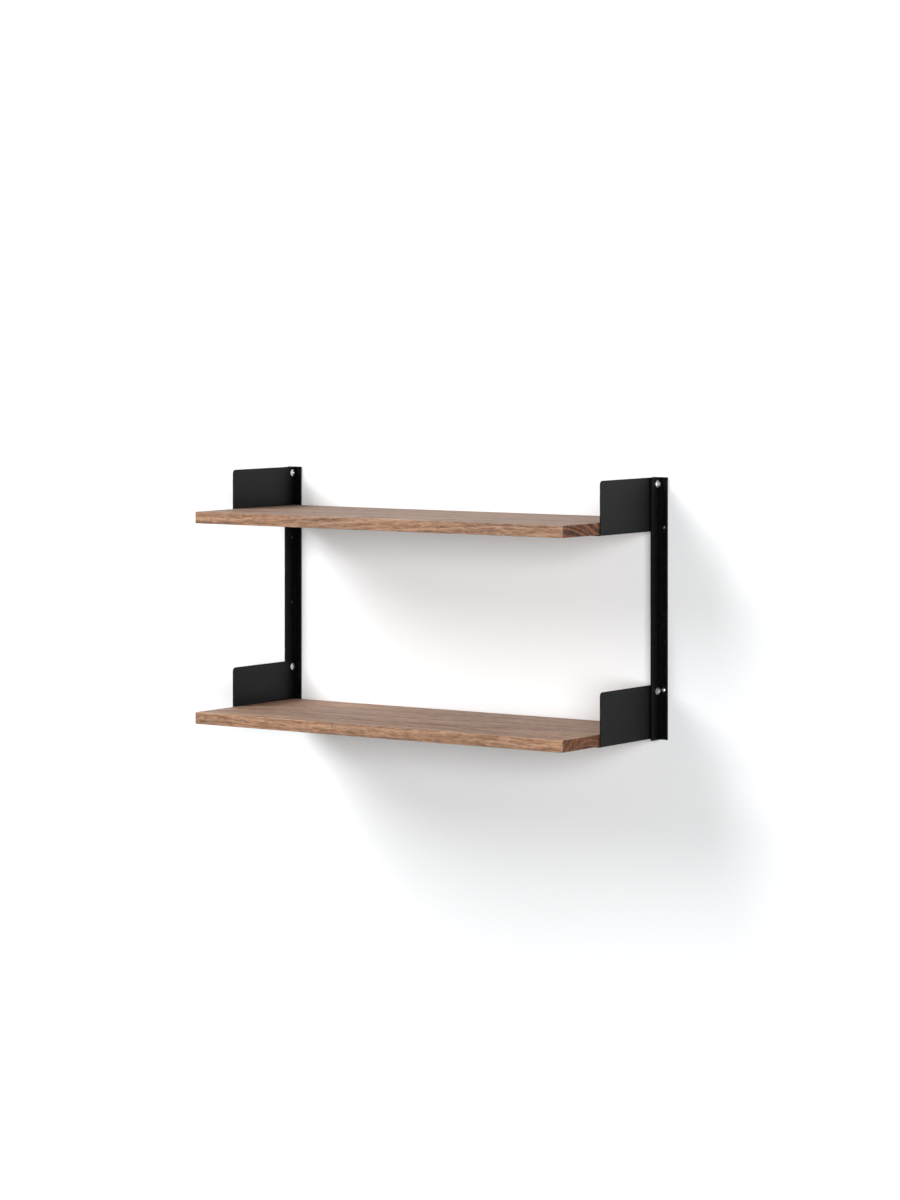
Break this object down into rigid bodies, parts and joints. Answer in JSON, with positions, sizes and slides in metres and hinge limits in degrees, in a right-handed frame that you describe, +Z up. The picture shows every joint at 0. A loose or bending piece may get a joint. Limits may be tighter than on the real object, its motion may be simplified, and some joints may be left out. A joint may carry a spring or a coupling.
{
  "type": "wall shelf",
  "caption": "Wall shelf with wooden boards held one above the other between steel T rails by folded sheet-steel brackets.",
  "frame": {"origin": "centre of the four wall screws, on the wall plane, at half the height of the rails", "axes": "+X runs right along the wall, +Y points into the wall, +Z is up; the shelf stands at negative Y"},
  "size_m": [0.946, 0.39, 0.52],
  "materials": {
    "walnut": "matt oiled walnut with straight grain",
    "black_steel": "satin black powder coat",
    "zinc_hardware": "bright zinc plate"
  },
  "bodies": {
    "root": {"shelf_lower": "walnut", "shelf_upper": "walnut", "rail_left": "black_steel", "rail_right": "black_steel", "bracket_lower_left": "black_steel", "bracket_lower_right": "black_steel", "bracket_upper_left": "black_steel", "bracket_upper_right": "black_steel", "bolt_lower_left": "zinc_hardware", "bolt_lower_right": "zinc_hardware", "bolt_upper_left": "zinc_hardware", "bolt_upper_right": "zinc_hardware", "washer_lower_left": "zinc_hardware", "washer_lower_right": "zinc_hardware", "washer_upper_left": "zinc_hardware", "washer_upper_right": "zinc_hardware", "nut_lower_left": "zinc_hardware", "nut_lower_right": "zinc_hardware", "nut_upper_left": "zinc_hardware", "nut_upper_right": "zinc_hardware", "wall_screw_lower_left": "zinc_hardware", "wall_screw_lower_right": "zinc_hardware", "wall_screw_upper_left": "zinc_hardware", "wall_screw_upper_right": "zinc_hardware", "board_screw_lower_left_back": "zinc_hardware", "board_screw_lower_left_front": "zinc_hardware", "board_screw_lower_right_back": "zinc_hardware", "board_screw_lower_right_front": "zinc_hardware", "board_screw_upper_left_back": "zinc_hardware", "board_screw_upper_left_front": "zinc_hardware", "board_screw_upper_right_back": "zinc_hardware", "board_screw_upper_right_front": "zinc_hardware"}
  },
  "joints": []
}
